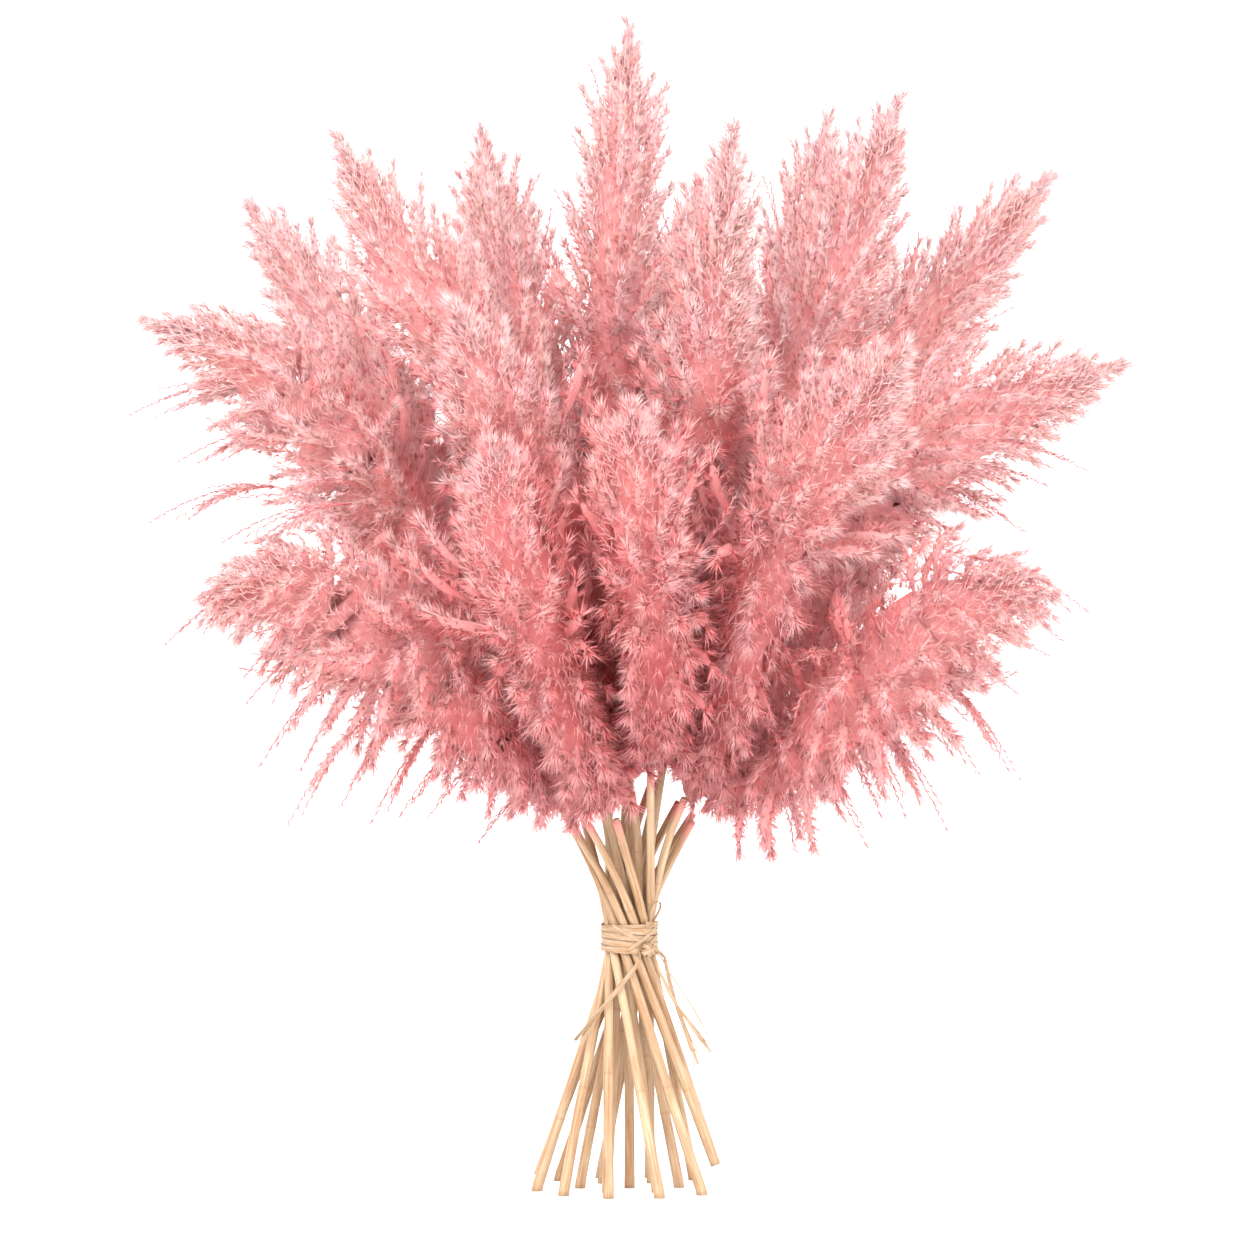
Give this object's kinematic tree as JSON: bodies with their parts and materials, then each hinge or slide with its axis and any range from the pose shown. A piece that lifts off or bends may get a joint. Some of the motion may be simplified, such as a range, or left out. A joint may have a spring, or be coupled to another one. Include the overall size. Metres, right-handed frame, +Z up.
{
  "type": "bundle of pampas grass",
  "caption": "Hand-tied spiral bundle of dyed pampas grass plumes, bound with raffia and standing on its cut stems.",
  "frame": {"origin": "on the floor, under the middle of the bundle's box in x and y", "axes": "+Z up along the bundle from the cut stems to the tallest plume, -Y the front, where the raffia knot is, +X to the viewer's right"},
  "size_m": [0.59, 0.372, 0.7],
  "materials": {
    "plume": "matte",
    "straw": "satin",
    "raffia": "matte"
  },
  "bodies": {
    "root": {"plume_centre": "plume", "plume_inner_01": "plume", "plume_inner_02": "plume", "plume_inner_03": "plume", "plume_inner_04": "plume", "plume_inner_05": "plume", "plume_inner_06": "plume", "plume_outer_01": "plume", "plume_outer_02": "plume", "plume_outer_03": "plume", "plume_outer_04": "plume", "plume_outer_05": "plume", "plume_outer_06": "plume", "plume_outer_07": "plume", "plume_outer_08": "plume", "plume_outer_09": "plume", "plume_outer_10": "plume", "plume_outer_11": "plume", "plume_outer_12": "plume", "raffia_knot": "raffia", "raffia_loop": "raffia", "raffia_tail_front": "raffia", "raffia_tail_long": "raffia", "raffia_tail_side": "raffia", "raffia_tail_thread": "raffia", "raffia_wraps": "raffia", "stem_centre": "straw", "stem_inner_01": "straw", "stem_inner_02": "straw", "stem_inner_03": "straw", "stem_inner_04": "straw", "stem_inner_05": "straw", "stem_inner_06": "straw", "stem_outer_01": "straw", "stem_outer_02": "straw", "stem_outer_03": "straw", "stem_outer_04": "straw", "stem_outer_05": "straw", "stem_outer_06": "straw", "stem_outer_07": "straw", "stem_outer_08": "straw", "stem_outer_09": "straw", "stem_outer_10": "straw", "stem_outer_11": "straw", "stem_outer_12": "straw"}
  },
  "joints": []
}
